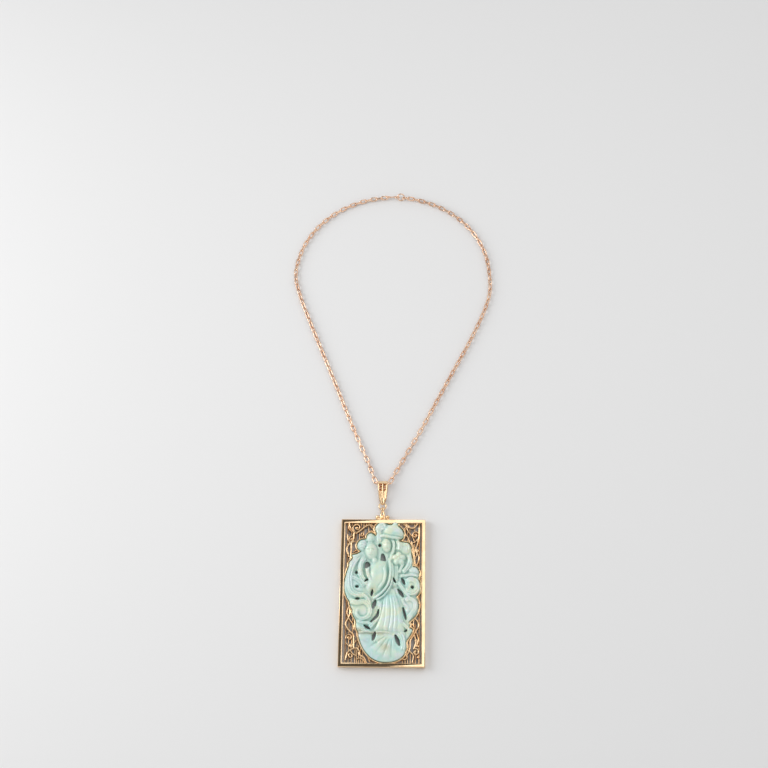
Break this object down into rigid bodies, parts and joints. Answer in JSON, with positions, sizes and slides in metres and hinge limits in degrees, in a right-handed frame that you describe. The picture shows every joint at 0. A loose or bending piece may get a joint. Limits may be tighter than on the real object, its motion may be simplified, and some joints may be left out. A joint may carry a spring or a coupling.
{
  "type": "opal pendant necklace",
  "caption": "Pendant necklace: a pierced opal carving of two robed figures in a gold openwork frame, hung by a ring and bail on a cable chain, lying flat.",
  "frame": {"origin": "on the surface, below the middle of the whole outline, pendant and chain loop together", "axes": "+Y from the pendant's lower edge toward the clasp, +X to the right as seen from the front, +Z off the surface, out of the carved face"},
  "size_m": [0.1176, 0.2814, 0.0062],
  "materials": {
    "opal": "polished, pale aqua and mint with soft play of colour",
    "gold": "polished yellow gold",
    "chain_gold": "polished, slightly rosier gold"
  },
  "bodies": {
    "root": {"opal_carving": "opal", "gold_frame": "gold", "bail_ring": "gold", "bail": "gold", "chain_left_1": "chain_gold", "chain_left_2": "chain_gold", "chain_left_3": "chain_gold", "chain_left_4": "chain_gold", "chain_right_1": "chain_gold", "chain_right_2": "chain_gold", "chain_right_3": "chain_gold", "chain_right_4": "chain_gold", "clasp_hook": "chain_gold", "clasp_ring": "chain_gold"}
  },
  "joints": []
}
